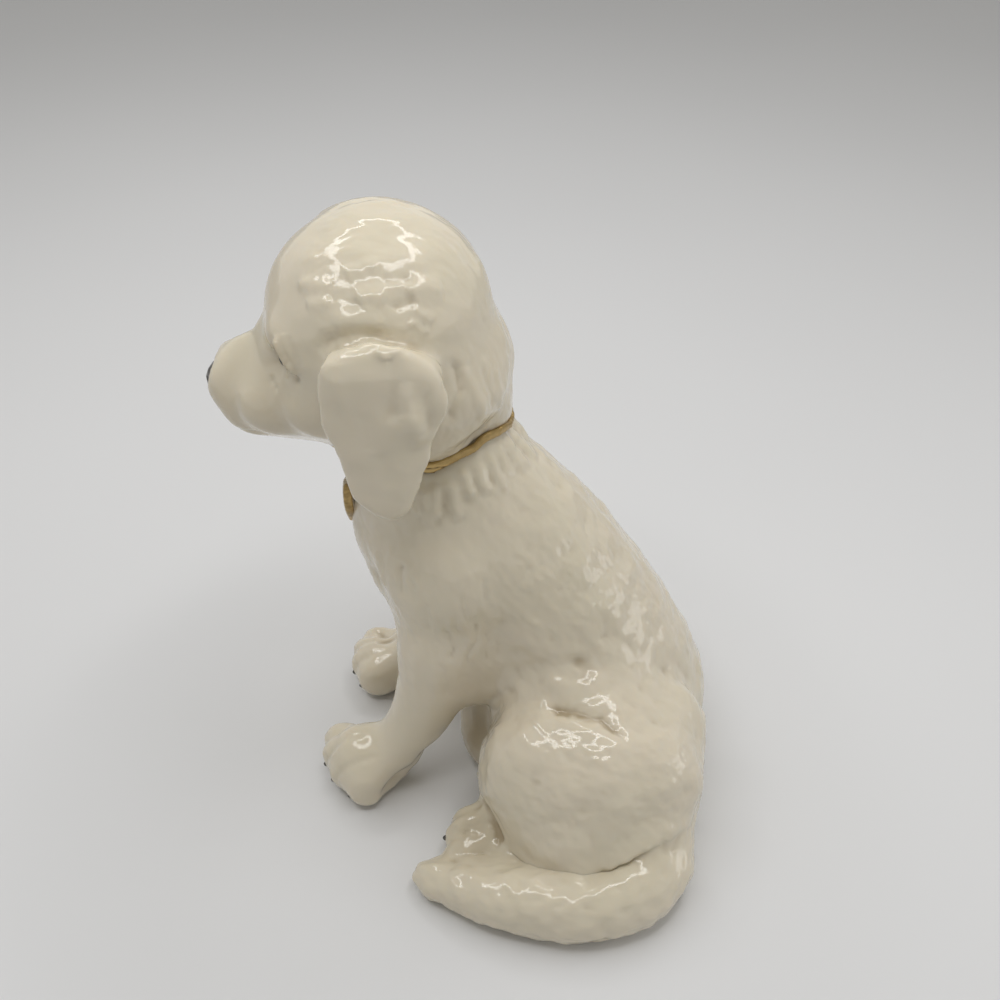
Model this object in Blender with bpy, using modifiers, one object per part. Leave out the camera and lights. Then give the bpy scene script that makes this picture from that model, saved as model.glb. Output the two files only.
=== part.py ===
"""Seated puppy figurine in slip-cast porcelain, as a standalone Blender 4.5 script.

The puppy is built as a pottery builds it: separate castings (torso, head, two ears, two forelegs, two
haunches, two hind paws and a tail) that are luted together, a raised collar band with a heart tag laid
into the neck joint, and small drops of coloured enamel for the nose, eyes and claws.
The dog sits on z = 0 and faces -Y, so its left side is +X, and the origin is the middle of the torso's
footprint. Sizes below are in millimetres and become metres when a shape is made.
"""

import math
from collections import namedtuple

import bmesh
import bpy
from mathutils import Euler, Matrix, Vector

MM = 0.001

# A mass is one lump of clay: centre (x, y, z), half sizes (across, along, up) and its pitch in degrees
Mass = namedtuple("Mass", "centre half_sizes pitch", defaults=(0.0,))
# A point of a limb's core: its place and the radius of the limb there
Core = namedtuple("Core", "x y z radius")

# The four toes of a paw: their pitch, how far the outer ones are set back in the bow, the claw's height as
# part of a toe's half height, and what each pitch outwards adds to the set-back and to the height
Toes = namedtuple("Toes", "pitch set_back claw_height splay roll")
TOE_BOW = 1.6  # power of the bow

Coat = namedtuple("Coat", "name colour roughness metallic")

GLAZE = Coat("ivory_glaze", (0.80, 0.76, 0.66), 0.12, 0.0)
GILDING = Coat("gilding", (0.62, 0.45, 0.16), 0.3, 1.0)
ENAMEL = Coat("dark_enamel", (0.05, 0.045, 0.04), 0.2, 0.0)

# Clearances and finish
SEAT_GAP = 0.3  # slip joint left between two castings
TORSO_GRAIN = 2.0  # size of the voxels that melt the lumps of a casting together
HEAD_GRAIN = 1.5
LIMB_GRAIN = 1.3
SMALL_GRAIN = 1.0
TAG_GRAIN = 0.35
FAIRING_PASSES = 6
BLOCK_SIZE = 240.0  # cutting blocks, larger than the puppy each way

# Main sizes of the figure
RIB_WIDTH = 41.0
RUMP_WIDTH = 54.0
HEAD_WIDTH = 46.0
HEAD_DEPTH = 42.8  # front to back, without the muzzle
HEAD_HEIGHT = 44.2
HEAD_LIFT = 113.3  # middle of the skull over the floor
HEAD_REACH = 40.5  # middle of the skull ahead of the origin
NECK_DROP = 25.2  # middle of the collar below the skull's middle
NECK_BACK = 8.5  # and behind it
FORE_STANCE = 16.6  # middle of a forepaw from the mid-plane
FORE_REACH = 47.0
HAUNCH_STANCE = 30.0  # middle of a thigh from the mid-plane
TAIL_OUT = 25.0  # core of the tail's bend outside the middle of the thigh

# Torso: its upper end follows the collar
NECK_LIFT = HEAD_LIFT - NECK_DROP
NECK_REACH = HEAD_REACH - NECK_BACK
SPINE_CORE = (
    Core(0, 2.0 - NECK_REACH, NECK_LIFT - 11.8, 17.0),
    Core(0, -21.5, 64, 20.8),
    Core(0, -10.0, 46, 23.0),
    Core(0, 0.0, 28, 24.3),
    Core(0, 3.5, 20, 24.5),
)
NECK = Mass((0, -NECK_REACH, NECK_LIFT - 2.8), (13.2, 16.0, 15))
RUFF = Mass((0, -NECK_REACH, NECK_LIFT - 15.8), (15, 16.6, 15))
RIBCAGE = Mass((0, -28.0, 62), (RIB_WIDTH / 2, 20.0, 22))
BREAST = Mass((0, -26.5, 47), (15, 15, 17))
BELLY = Mass((0, -12.0, 14), (17, 16, 20))
SHOULDER = Mass((11.5, -28.0, 60), (12.5, 14, 18))
HIP = Mass((9, 1.0, 22), (17, 22, 25))
FLANK = Mass((14.5, -2.0, 36), (11.5, 19, 9))
RUMP = Mass((0, 7.0, 16), (RUMP_WIDTH / 2, 23.5, 18))
# The hole in the base that lets the air out when such a casting is fired
VENT_WIDTH = 6.0
VENT_DEPTH = 12.0
VENT_BACK = 9.0

# Head: lumps are placed from the middle of the skull
SKULL_MIDDLE = Vector((0, -HEAD_REACH, HEAD_LIFT))
SKULL = {
    "cranium": Mass((0, 0, 0), (HEAD_WIDTH / 2, HEAD_DEPTH / 2, HEAD_HEIGHT / 2)),
    "occiput": Mass((0, 5.5, -9.3), (HEAD_WIDTH / 2 - 1.5, HEAD_DEPTH / 2 - 1.8, 18)),
    "nape": Mass((0, 8.5, -18.3), (14.2, 16.5, 15)),
    "throat": Mass((0, -3.5, -19.3), (11, 12, 9)),
    "jaw": Mass((0, -16.5, -18.5), (8.5, 12, 5)),
}
FACE_PAIRS = {
    "brow": Mass((9.5, -13.5, 1.7), (8, 7, 7)),
    "cheek": Mass((10.5, -8.5, -9.8), (9.5, 11, 8)),
    "lip": Mass((4.5, -23.9, -15.6), (6.3, 9.0, 6.7)),
}
MUZZLE_CORE = (
    Core(0, -9.5, -12.5, 13.5),
    Core(0, -18.5, -14.0, 11.2),
    Core(0, -26.0, -14.3, 8.8),
)
# A drop of enamel is pressed in where a line from the casting's inside, along the aim, comes out
Drop = namedtuple("Drop", "start aim half_sizes pitch sink")
NOSE = Drop((0, -26.0, -14.3), (0, -6.5, 2.6), (4.4, 3.0, 3.3), 15, 2.3)
EYE = Drop((0, 0, 0), (13.4, -17.0, -0.9), (2.5, 2.3, 2.3), 0, 1.8)

# Ears: a flap's core runs down the side of the head, squashed to a leaf, under a thick root
EAR_CORE = (
    Core(0, 2.0, -2.8, 12.0),
    Core(0, 2.5, -8.8, 10.8),
    Core(0, 1.7, -14.8, 8.7),
    Core(0, 0.6, -18.6, 7.4),
)
EAR_SQUASH = 0.24
EAR_STAND = 3.2  # middle of the flap outside the skull
EAR_LEAN = 0.10
EAR_ROOT = Mass((HEAD_WIDTH / 2 - 1.0, 2.5, 1.7), (4.4, 10.5, 5.5))

# Collar joint: a plane across the neck, and the band laid round it
COLLAR_MIDDLE = Vector((0, -NECK_REACH, NECK_LIFT))
COLLAR_TILT = 6.0
COLLAR_REACH = 30.0
COLLAR_WIDTH = 1.3
COLLAR_RISE = 0.7

# Heart tag, hung from the collar and laid on the breast
TAG_DROP = 16.8  # middle of the tag below the collar's middle
TAG_STAND = 0.8  # middle of the tag off the breast
TAG_HALF_WIDTH = 5.4
TAG_TIP = 7.0
TAG_SHOULDER = 4.4
TAG_NOTCH = 2.6
TAG_HALF_THICKNESS = 1.1
TAG_ROUNDING = 0.4
TAG_LOOP = Mass((0, 0.4, 8.4), (1.3, 1.3, 5.8), -6)
# Handles of the heart's curves, as parts of its half width, tip and shoulder
TIP_HANDLE = (0.3, 0.7)
SIDE_KNOT = 0.3
LOBE_HANDLE = (0.35, 1.15)

# Forelegs
FORELEG_CORE = (
    Core(FORE_STANCE - 6.5, -26.0, 62, 8.0),
    Core(FORE_STANCE - 2.7, -30.5, 46, 9.4),
    Core(FORE_STANCE - 1.2, -32.6, 32, 7.9),
    Core(FORE_STANCE - 0.7, 10.4 - FORE_REACH, 20, 7.0),
    Core(FORE_STANCE, 5.0 - FORE_REACH, 10, 6.6),
)
FORE_PAW = Mass((FORE_STANCE + 0.5, -FORE_REACH, 7.8), (8.6, 9.8, 8.6))
FORE_TOE = Mass((0, -6.8, -1.5), (3.4, 5.3, 5.9))
FORE_TOES = Toes(4.6, 1.35, -0.45, {"left": 2.2, "right": 0.0}, 0.0)
# The left forepaw stands a little out, and the right one is set further back
FORELEG_SHIFT = {"left": Vector((0.8, 0, 0)), "right": Vector((-0.8, 2.8, 0))}

# Hind legs
HAUNCH = {
    "thigh": Mass((HAUNCH_STANCE, 2.0, 18.5), (18.5, 25, 20)),
    "knee": Mass((HAUNCH_STANCE + 2.0, -10.5, 20), (12, 11.5, 16.5)),
    "calf": Mass((HAUNCH_STANCE + 4.0, 2.0, 10), (14, 23, 11)),
}
# The puppy sits a little rolled: its right thigh lies further forward and closer in
HAUNCH_SHIFT = {"left": Vector((0, 0, 0)), "right": Vector((-3, -6, -1))}
HIND_PAW = Mass((HAUNCH_STANCE + 5.0, -17.2, 6.4), (8.4, 11.5, 6.8))
HIND_TOE = Mass((0, -8.3, -0.8), (3.0, 4.6, 4.8))
HIND_TOES = Toes(4.7, 1.35, -0.05, {"left": -2.0, "right": -0.5}, -0.9)
HIND_PAW_SHIFT = {"left": Vector((0, 0, 0)), "right": Vector((1.5, -3.5, 0))}

# Claws: a size of their own, and their place on a toe as part of its half length
CLAW_HALF_SIZES = (0.65, 1.2, 1.0)
CLAW_FORWARD = 0.82
CLAW_ROOM = 1.3  # the tail keeps this far from the paw, so that it clears the claws too

# Tail: it leaves the rump, bends round the haunch and runs forward to the hind paw
TAIL_SIDE = "left"
TAIL_REACH = HAUNCH_STANCE + TAIL_OUT
TAIL_CORE = (
    Core(14.0, 14.0, 12.0, 11.0),
    Core(28.0, 15.0, 10.0, 10.0),
    Core(TAIL_REACH - 15.0, 15.5, 8.4, 9.0),
    Core(TAIL_REACH - 6.5, 13.0, 7.5, 8.2),
    Core(TAIL_REACH - 1.5, 6.0, 7.0, 7.7),
    Core(TAIL_REACH, -3.0, 6.8, 7.5),
    Core(TAIL_REACH - 1.0, -12.0, 6.5, 6.9),
    Core(TAIL_REACH - 3.6, -22.0, 5.6, 5.8),
    Core(TAIL_REACH - 6.6, -29.0, 4.6, 4.7),
    Core(TAIL_REACH - 8.6, -32.8, 3.9, 4.0),
)

# Triangles kept on each casting
TORSO_FACETS = 2000
HEAD_FACETS = 2000
FORELEG_FACETS = 760
HAUNCH_FACETS = 620
HIND_PAW_FACETS = 520
EAR_FACETS = 420
TAIL_FACETS = 640
TAG_FACETS = 420


def clear_scene():
    for obj in list(bpy.data.objects):
        bpy.data.objects.remove(obj)


def new_collection(name):
    made = bpy.data.collections.new(name)
    bpy.context.scene.collection.children.link(made)
    return made


def put_in(obj, collection):
    for owner in list(obj.users_collection):
        owner.objects.unlink(obj)
    collection.objects.link(obj)


def as_cutter(obj, cutters):
    put_in(obj, cutters)
    obj.hide_render = True
    obj.display_type = "WIRE"
    return obj


def material(name, coat):
    made = bpy.data.materials.new(name)
    made.use_nodes = True
    shader = made.node_tree.nodes["Principled BSDF"]
    shader.inputs["Base Color"].default_value = (*coat.colour, 1.0)
    shader.inputs["Roughness"].default_value = coat.roughness
    shader.inputs["Metallic"].default_value = coat.metallic
    return made


def evaluated_mesh(obj):
    bpy.context.view_layer.update()
    graph = bpy.context.evaluated_depsgraph_get()
    return bpy.data.meshes.new_from_object(obj.evaluated_get(graph))


def baked(obj):
    """Replaces the object's mesh and modifiers by the mesh that they give."""
    mesh = evaluated_mesh(obj)
    obj.modifiers.clear()
    obj.data = mesh
    return obj


def placed(obj, centre, pitch, half_sizes):
    """Stretches a unit shape, tips it about the X axis and puts it at its centre."""
    place = Matrix.Translation(Vector(centre) * MM)
    turn = Euler((math.radians(pitch), 0, 0)).to_matrix().to_4x4()
    obj.data.transform(place @ turn @ Matrix.Diagonal((*half_sizes, 1)))
    return obj


def mirrored(centre, side):
    """The same place on the dog's left for side 1, and on its right for side -1."""
    x, y, z = centre
    return side * x, y, z


def lump(mass, side=1):
    """One lump of clay as an ellipsoid."""
    bpy.ops.mesh.primitive_uv_sphere_add(segments=32, ring_count=20, radius=MM)
    return placed(bpy.context.object, mirrored(mass.centre, side), mass.pitch, mass.half_sizes)


def bead(name, mass, side=1):
    """A small closed drop of enamel."""
    bpy.ops.mesh.primitive_ico_sphere_add(subdivisions=2, radius=MM)
    obj = placed(bpy.context.object, mirrored(mass.centre, side), mass.pitch, mass.half_sizes)
    obj.name = name
    return obj


def moved(mass, by):
    return mass._replace(centre=tuple(Vector(mass.centre) + by))


def grown(mass, by):
    return mass._replace(half_sizes=tuple(size + by for size in mass.half_sizes))


def moved_cores(cores, by):
    return [core._replace(x=core.x + by.x, y=core.y + by.y, z=core.z + by.z) for core in cores]


def meshed(name, curve):
    """A curve as a closed mesh object, with its caps welded on."""
    rod = bpy.data.objects.new(name, curve)
    bpy.context.scene.collection.objects.link(rod)
    mesh = evaluated_mesh(rod)
    bpy.data.objects.remove(rod)
    shape = bmesh.new()
    shape.from_mesh(mesh)
    bmesh.ops.remove_doubles(shape, verts=shape.verts, dist=1e-6)
    bmesh.ops.recalc_face_normals(shape, faces=shape.faces)
    shape.to_mesh(mesh)
    shape.free()
    obj = bpy.data.objects.new(name, mesh)
    bpy.context.scene.collection.objects.link(obj)
    return obj


def limb(cores, side=1):
    """A tapering limb along its core, with round ends, as one object."""
    curve = bpy.data.curves.new("limb", "CURVE")
    curve.dimensions = "3D"
    curve.bevel_depth = MM
    curve.bevel_resolution = 6
    curve.resolution_u = 6
    curve.use_fill_caps = True
    spline = curve.splines.new("BEZIER")
    spline.bezier_points.add(len(cores) - 1)
    for point, core in zip(spline.bezier_points, cores):
        point.co = Vector((side * core.x, core.y, core.z)) * MM
        point.radius = core.radius
        point.handle_left_type = point.handle_right_type = "AUTO"
    ends = [lump(Mass((c.x, c.y, c.z), (c.radius,) * 3), side) for c in (cores[0], cores[-1])]
    return joined("limb", [meshed("limb", curve), *ends])


def joined(name, pieces):
    """Several meshes in one object, still as separate shells."""
    bpy.ops.object.select_all(action="DESELECT")
    for piece in pieces:
        piece.select_set(True)
    bpy.context.view_layer.objects.active = pieces[0]
    if len(pieces) > 1:
        bpy.ops.object.join()
    pieces[0].name = name
    return pieces[0]


def facets(obj):
    return sum(len(face.vertices) - 2 for face in obj.data.polygons)


def melted(name, pieces, grain, keep):
    """Melts lumps into one smooth casting: voxel remesh, fairing, then fewer facets."""
    obj = joined(name, pieces)
    melt = obj.modifiers.new("melt", "REMESH")
    melt.mode = "VOXEL"
    melt.voxel_size = grain * MM
    fair = obj.modifiers.new("fair", "SMOOTH")
    fair.factor = 0.5
    fair.iterations = FAIRING_PASSES
    baked(obj)
    fewer = obj.modifiers.new("fewer", "DECIMATE")
    fewer.ratio = min(1.0, keep / facets(obj))
    return baked(obj)


def swollen(obj, by, cutters):
    """A cutter: the casting's own surface, pushed out by a clearance."""
    cutter = bpy.data.objects.new(obj.name + "_cutter", obj.data.copy())
    as_cutter(cutter, cutters)
    push = cutter.modifiers.new("push", "DISPLACE")
    push.strength = by * MM
    push.mid_level = 0.0
    return baked(cutter)


def cut(obj, cutter, operation="DIFFERENCE"):
    knife = obj.modifiers.new("cut", "BOOLEAN")
    knife.operation = operation
    knife.solver = "EXACT"
    knife.object = cutter
    return baked(obj)


def slab(name, centre, size, tilt):
    """A box, tilted about the X axis."""
    bpy.ops.mesh.primitive_cube_add(size=MM)
    obj = placed(bpy.context.object, centre, tilt, size)
    obj.name = name
    return obj


def surface(casting, start, aim):
    """Where a line from inside a casting comes out of it."""
    graph = bpy.context.evaluated_depsgraph_get()
    found, point, _, _ = casting.ray_cast(Vector(start) * MM, Vector(aim), depsgraph=graph)
    if not found:
        raise RuntimeError(f"no surface of {casting.name} towards {tuple(aim)}")
    return point / MM


def drop_on(name, casting, drop, base, side=1):
    """A drop of enamel, pressed into the casting's surface."""
    start = base + Vector(mirrored(drop.start, side))
    aim = Vector(mirrored(drop.aim, side)).normalized()
    centre = surface(casting, start, aim) - drop.sink * aim
    return bead(name, Mass(tuple(centre), drop.half_sizes, drop.pitch))


def toe_places(paw, toe, row, word):
    """Centres of a paw's four toes, in a bow across its front, the inner one first."""
    x, y, z = paw.centre
    places = []
    for step in (-1.5, -0.5, 0.5, 1.5):
        back = abs(step) ** TOE_BOW * row.set_back + step * row.splay[word]
        places.append((x + step * row.pitch, y + toe.centre[1] + back, z + toe.centre[2] + step * row.roll))
    return places


def toes(paw, toe, row, word, side):
    return [lump(Mass(place, toe.half_sizes), side) for place in toe_places(paw, toe, row, word)]


def paw_room(paw, toe, row, word, side, cutters):
    """A cutter for what lies beside a paw: the same lumps, grown to clear its claws too."""
    lumps = [lump(grown(paw, CLAW_ROOM), side), *toes(paw, grown(toe, CLAW_ROOM), row, word, side)]
    return as_cutter(melted("paw_room", lumps, SMALL_GRAIN, HIND_PAW_FACETS), cutters)


def claws(which, word, paw, toe, row, side):
    """The four claws of a paw, one on the front of each toe."""
    _, long, tall = toe.half_sizes
    made = []
    for number, (x, y, z) in enumerate(toe_places(paw, toe, row, word), start=1):
        place = (x, y - CLAW_FORWARD * long, z + row.claw_height * tall)
        made.append(bead(f"{which}_claw_{word}_{number}", Mass(place, CLAW_HALF_SIZES), side))
    return made


def ear_flap(side):
    """A limb squashed sideways to a leaf, leant out towards its lower end, outside the skull."""
    obj = limb(moved_cores(EAR_CORE, SKULL_MIDDLE))
    top = (SKULL_MIDDLE.z + EAR_CORE[0].z) * MM
    out = (HEAD_WIDTH / 2 + EAR_STAND) * MM + EAR_LEAN * top
    squash = Matrix.Identity(4)
    squash[0][:] = (side * EAR_SQUASH, 0, -side * EAR_LEAN, side * out)
    obj.data.transform(squash)
    if side < 0:
        obj.data.flip_normals()
    return obj


def heart(name):
    """The tag's heart, as a filled and rounded outline that lies in its own plane."""
    curve = bpy.data.curves.new(name, "CURVE")
    curve.dimensions = "2D"
    curve.fill_mode = "BOTH"
    curve.extrude = (TAG_HALF_THICKNESS - TAG_ROUNDING) * MM
    curve.bevel_depth = TAG_ROUNDING * MM
    curve.bevel_resolution = 1
    curve.offset = -TAG_ROUNDING * MM
    curve.resolution_u = 5
    wide, tip, shoulder = TAG_HALF_WIDTH, -TAG_TIP, TAG_SHOULDER
    tip_x, tip_y = TIP_HANDLE[0] * wide, TIP_HANDLE[1] * tip
    lobe_x, lobe_y = LOBE_HANDLE[0] * wide, LOBE_HANDLE[1] * shoulder
    side_y, under_y = SIDE_KNOT * shoulder, SIDE_KNOT * tip
    # Each knot with the handle before it and the one after it, anticlockwise from the tip
    knots = (
        ((0, tip), (-tip_x, tip_y), (tip_x, tip_y)),
        ((wide, side_y), (wide, under_y), (wide, shoulder)),
        ((0, TAG_NOTCH), (lobe_x, lobe_y), (-lobe_x, lobe_y)),
        ((-wide, side_y), (-wide, shoulder), (-wide, under_y)),
    )
    spline = curve.splines.new("BEZIER")
    spline.bezier_points.add(len(knots) - 1)
    spline.use_cyclic_u = True
    for point, (at, before, after) in zip(spline.bezier_points, knots):
        point.handle_left_type = point.handle_right_type = "FREE"
        point.co = (*(Vector(at) * MM), 0)
        point.handle_left = (*(Vector(before) * MM), 0)
        point.handle_right = (*(Vector(after) * MM), 0)
    return meshed(name, curve)


def keep_largest(obj):
    """Drops the slivers that a cut can leave beside the main body."""
    shape = bmesh.new()
    shape.from_mesh(obj.data)
    left = set(shape.verts)
    islands = []
    while left:
        island = {left.pop()}
        front = list(island)
        while front:
            corner = front.pop()
            for edge in corner.link_edges:
                other = edge.other_vert(corner)
                if other in left:
                    left.discard(other)
                    island.add(other)
                    front.append(other)
        islands.append(island)
    islands.sort(key=len)
    for island in islands[:-1]:
        bmesh.ops.delete(shape, geom=list(island), context="VERTS")
    shape.to_mesh(obj.data)
    shape.free()


def finish(obj, parts, coat):
    keep_largest(obj)
    put_in(obj, parts)
    obj.data.materials.clear()
    obj.data.materials.append(material(f"{obj.name}_{coat.name}", coat))
    obj.data.shade_smooth()


def torso_lumps():
    singles = [lump(mass) for mass in (NECK, RUFF, RIBCAGE, BREAST, BELLY, RUMP)]
    pairs = [lump(mass, side) for mass in (SHOULDER, HIP, FLANK) for side in (1, -1)]
    return [limb(SPINE_CORE), *singles, *pairs]


def head_lumps():
    singles = [lump(moved(mass, SKULL_MIDDLE)) for mass in SKULL.values()]
    pairs = [lump(moved(mass, SKULL_MIDDLE), side) for mass in FACE_PAIRS.values() for side in (1, -1)]
    return [limb(moved_cores(MUZZLE_CORE, SKULL_MIDDLE)), *singles, *pairs]


def cut_at_neck(torso, head, cutters):
    """Parts the torso from the head on either side of the collar's plane."""
    tilt = math.radians(COLLAR_TILT)
    up = Vector((0, -math.sin(tilt), math.cos(tilt)))
    cube = (BLOCK_SIZE,) * 3
    away = BLOCK_SIZE / 2 - SEAT_GAP / 2
    above = slab("above_neck", COLLAR_MIDDLE + up * away, cube, COLLAR_TILT)
    below = slab("below_neck", COLLAR_MIDDLE - up * away, cube, COLLAR_TILT)
    cut(torso, as_cutter(above, cutters))
    cut(head, as_cutter(below, cutters))


def make_collar(parts, cutters):
    """A band that follows the neck, where head and torso meet."""
    form = melted("neck_form", torso_lumps() + head_lumps(), HEAD_GRAIN, 2 * HEAD_FACETS)
    as_cutter(form, cutters)
    band = (2 * COLLAR_REACH, 2 * COLLAR_REACH, COLLAR_WIDTH)
    collar = slab("collar", COLLAR_MIDDLE, band, COLLAR_TILT)
    cut(collar, swollen(form, SEAT_GAP + COLLAR_RISE, cutters), "INTERSECT")
    cut(collar, swollen(form, SEAT_GAP, cutters))
    finish(collar, parts, GILDING)
    return collar


def make_tag(torso_form, collar, parts, cutters):
    """The heart tag, stood upright on the breast, with the loop that joins it to the collar."""
    level = COLLAR_MIDDLE - Vector((0, 0, TAG_DROP))
    centre = surface(torso_form, level, (0, -1, 0)) - Vector((0, TAG_STAND, 0))
    outline = placed(heart("collar_tag"), centre, 90, (1, 1, 1))
    tag = melted("collar_tag", [outline, lump(moved(TAG_LOOP, centre))], TAG_GRAIN, TAG_FACETS)
    cut(tag, torso_form)
    cut(tag, swollen(collar, SEAT_GAP, cutters))
    finish(tag, parts, GILDING)


def press_in(drops, casting, parts, cutters):
    """Cuts a seat for each drop of enamel into its casting."""
    for drop in drops:
        cut(casting, swollen(drop, SEAT_GAP, cutters))
        finish(drop, parts, ENAMEL)


def make_vent(torso, cutters):
    bpy.ops.mesh.primitive_cylinder_add(vertices=24, radius=MM, depth=2 * MM)
    size = (VENT_WIDTH / 2, VENT_WIDTH / 2, VENT_DEPTH)
    hole = placed(bpy.context.object, (0, VENT_BACK, 0), 0, size)
    hole.name = "vent"
    cut(torso, as_cutter(hole, cutters))


def make_side(side, word, forms, floor, parts, cutters):
    """The castings that stand on one side of the dog: ear, foreleg, haunch, hind paw and the tail."""
    torso_form, head_form = forms
    lumps = [lump(moved(mass, HAUNCH_SHIFT[word]), side) for mass in HAUNCH.values()]
    haunch = melted("haunch_" + word, lumps, LIMB_GRAIN, HAUNCH_FACETS)
    haunch_form = swollen(haunch, SEAT_GAP, cutters)
    cut(haunch, torso_form)
    cut(haunch, floor)

    fore_paw = moved(FORE_PAW, FORELEG_SHIFT[word])
    shank = limb(moved_cores(FORELEG_CORE, FORELEG_SHIFT[word]), side)
    lumps = [shank, lump(fore_paw, side), *toes(fore_paw, FORE_TOE, FORE_TOES, word, side)]
    leg = melted("foreleg_" + word, lumps, SMALL_GRAIN, FORELEG_FACETS)
    cut(leg, torso_form)
    cut(leg, floor)
    press_in(claws("fore", word, fore_paw, FORE_TOE, FORE_TOES, side), leg, parts, cutters)

    hind_paw = moved(HIND_PAW, HIND_PAW_SHIFT[word])
    lumps = [lump(hind_paw, side), *toes(hind_paw, HIND_TOE, HIND_TOES, word, side)]
    paw = melted("hind_paw_" + word, lumps, SMALL_GRAIN, HIND_PAW_FACETS)
    for form in (torso_form, haunch_form, floor):
        cut(paw, form)
    press_in(claws("hind", word, hind_paw, HIND_TOE, HIND_TOES, side), paw, parts, cutters)

    if word == TAIL_SIDE:
        tail = melted("tail", [limb(TAIL_CORE, side)], LIMB_GRAIN, TAIL_FACETS)
        room = paw_room(hind_paw, HIND_TOE, HIND_TOES, word, side, cutters)
        for form in (torso_form, haunch_form, room, floor):
            cut(tail, form)
        finish(tail, parts, GLAZE)

    root = lump(moved(EAR_ROOT, SKULL_MIDDLE), side)
    ear = melted("ear_" + word, [ear_flap(side), root], SMALL_GRAIN, EAR_FACETS)
    cut(ear, head_form)
    for obj in (haunch, leg, paw, ear):
        finish(obj, parts, GLAZE)


def build():
    clear_scene()
    parts = new_collection("porcelain_puppy")
    cutters = new_collection("cutters")
    torso = melted("torso", torso_lumps(), TORSO_GRAIN, TORSO_FACETS)
    head = melted("head", head_lumps(), HEAD_GRAIN, HEAD_FACETS)
    forms = [swollen(casting, SEAT_GAP, cutters) for casting in (torso, head)]
    drops = [drop_on("nose", head, NOSE, SKULL_MIDDLE)]
    for side, word in ((1, "left"), (-1, "right")):
        drops.append(drop_on("eye_" + word, head, EYE, SKULL_MIDDLE, side))

    collar = make_collar(parts, cutters)
    make_tag(forms[0], collar, parts, cutters)
    cube = (BLOCK_SIZE,) * 3
    floor = as_cutter(slab("floor", (0, 0, -BLOCK_SIZE / 2), cube, 0), cutters)
    cut_at_neck(torso, head, cutters)
    cut(torso, floor)
    make_vent(torso, cutters)
    press_in(drops, head, parts, cutters)
    for side, word in ((1, "left"), (-1, "right")):
        make_side(side, word, forms, floor, parts, cutters)
    for obj in (torso, head):
        finish(obj, parts, GLAZE)


build()
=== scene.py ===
import math

import bmesh
import bpy
import numpy as np
from mathutils import Matrix, Vector
from mathutils.bvhtree import BVHTree
from mathutils.kdtree import KDTree


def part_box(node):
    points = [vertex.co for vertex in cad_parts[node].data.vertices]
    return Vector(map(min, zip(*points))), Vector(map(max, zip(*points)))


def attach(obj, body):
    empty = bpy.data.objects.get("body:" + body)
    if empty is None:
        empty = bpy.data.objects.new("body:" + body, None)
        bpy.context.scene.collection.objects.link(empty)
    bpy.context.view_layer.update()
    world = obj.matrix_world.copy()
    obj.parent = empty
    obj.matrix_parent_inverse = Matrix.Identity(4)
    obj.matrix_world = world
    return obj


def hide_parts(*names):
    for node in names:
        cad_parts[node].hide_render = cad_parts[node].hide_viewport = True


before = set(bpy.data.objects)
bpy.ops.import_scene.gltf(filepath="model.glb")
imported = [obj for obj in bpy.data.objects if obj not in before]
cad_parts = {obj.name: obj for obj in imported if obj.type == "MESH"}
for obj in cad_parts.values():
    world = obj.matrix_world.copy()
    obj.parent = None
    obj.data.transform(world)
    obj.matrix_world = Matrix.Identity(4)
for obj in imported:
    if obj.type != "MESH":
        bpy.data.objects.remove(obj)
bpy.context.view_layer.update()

bl_info = {
    "name": "Porcelain Puppy",
    "version": (1, 0, 0),
    "blender": (4, 5, 0),
    "location": "3D View > Sidebar > Puppy",
    "description": "Glazes, gilds and lights a sitting porcelain puppy built round its castings",
    "category": "Object",
}

MM = 0.001
BODY_CASTINGS = (
    "torso", "foreleg_left", "foreleg_right", "haunch_left", "haunch_right",
    "hind_paw_left", "hind_paw_right", "tail",
)
HEAD_CASTINGS = ("head", "ear_left", "ear_right")
SIDES = {"left": 1, "right": -1}

# Stage, in metres and watts
FLOOR_SIZE = 6.0
RING_MIDDLE = (-0.055, -0.075)
RING_POWER = 1.42
RING_TUBES = 16
RING_TINT = (1.0, 0.995, 0.99)
FILL_TINT = (1.0, 0.98, 0.935)
FILL_STRENGTH = 0.34
WALL_GLOW = 0.8  # what the glaze mirrors of the pale walls round the table
WALL_TOP = 0.6  # the sine of the height over the horizon at which the walls end
LAMP_AIM = (0, 0, 0.05)
# The side lamp lights the skin, and the back lamp only glints on it: place, size and power
SIDE_LAMP = ((0.05, 0.50, 0.32), (0.40, 0.40), 0.46)
BACK_LAMP = ((0.03, 0.24, 0.05), (0.12, 0.06), 0.035)
CAMERA_AZIMUTH = 90.0
CAMERA_ELEVATION = 38.0
CAMERA_DISTANCE = 0.253
CAMERA_LENS = 43.2
CAMERA_SENSOR = 36.0
CAMERA_AIM = (0.0, -0.018, 0.070)

# Places on the puppy, in millimetres: it faces -Y, and its left side is +X
COLLAR_MIDDLE = (0.0, -32.0, 88.1)
COLLAR_TILT = 6.0
COLLAR_RISE = 3.0  # how far the collar and the neck round it climb behind each ear
CLIMB_TURN = 50.0  # where that climb is highest, in degrees from straight sideways to the back
CLIMB_REACH = 9.0  # how far over and under the collar the neck goes with it
COLLAR_FOOT = 85.5  # the height at which the tufts under the collar begin
COLLAR_TUFTS = 17
TAIL_LINE = (
    (14, 14, 12), (28, 15, 10), (40, 15.5, 8.4), (48.5, 13, 7.5), (53.5, 6, 7), (55, -3, 6.8), (54, -12, 6.5),
    (51, -22, 5.8), (47.5, -29, 4.8), (45.5, -32.5, 3.9),
)
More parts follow.
